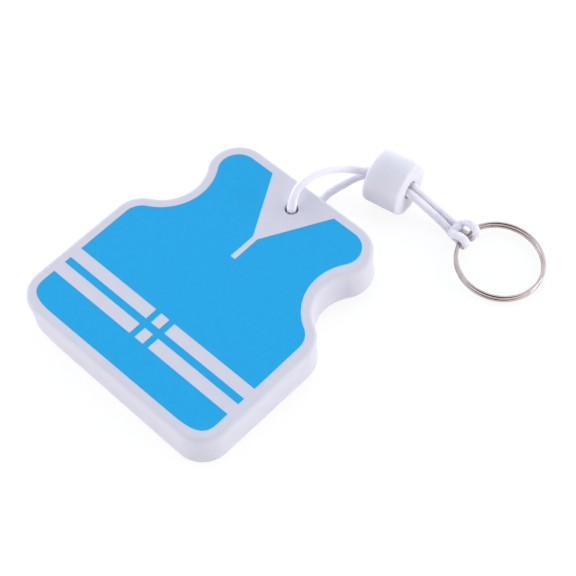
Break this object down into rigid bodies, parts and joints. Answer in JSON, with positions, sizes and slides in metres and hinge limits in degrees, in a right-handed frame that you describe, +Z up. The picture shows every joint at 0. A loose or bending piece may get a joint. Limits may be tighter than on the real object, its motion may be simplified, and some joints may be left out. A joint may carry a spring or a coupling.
{
  "type": "floating keychain",
  "caption": "Buoyant foam vest-shaped key float with a doubled cord, a small foam bead and a split ring for keys.",
  "frame": {"origin": "middle of the footprint of the foam vest and the split ring, on the surface they lie on", "axes": "+X across the vest to the side the ring lies on, +Y from the vest's hem to its neck, +Z up, out of the printed face"},
  "size_m": [0.0958, 0.1126, 0.0182],
  "materials": {
    "white_foam": "soft closed-cell foam",
    "blue_print": "screen-printed ink on foam",
    "bead_foam": "soft closed-cell foam",
    "white_cord": "fine round braid",
    "ring_steel": "nickel-plated spring steel"
  },
  "bodies": {
    "float": {"foam_float": "white_foam", "print_panels": "blue_print", "cord_loop": "white_cord", "cord_bead": "bead_foam"},
    "ring": {"split_ring": "ring_steel"}
  },
  "joints": [
    {"name": "ring_swing", "type": "hinge", "parent": "float", "child": "ring", "pos_m": [0.02344, 0.04382, 0.00263], "axis": [0, -1, 0], "range_deg": [0, 135]}
  ]
}
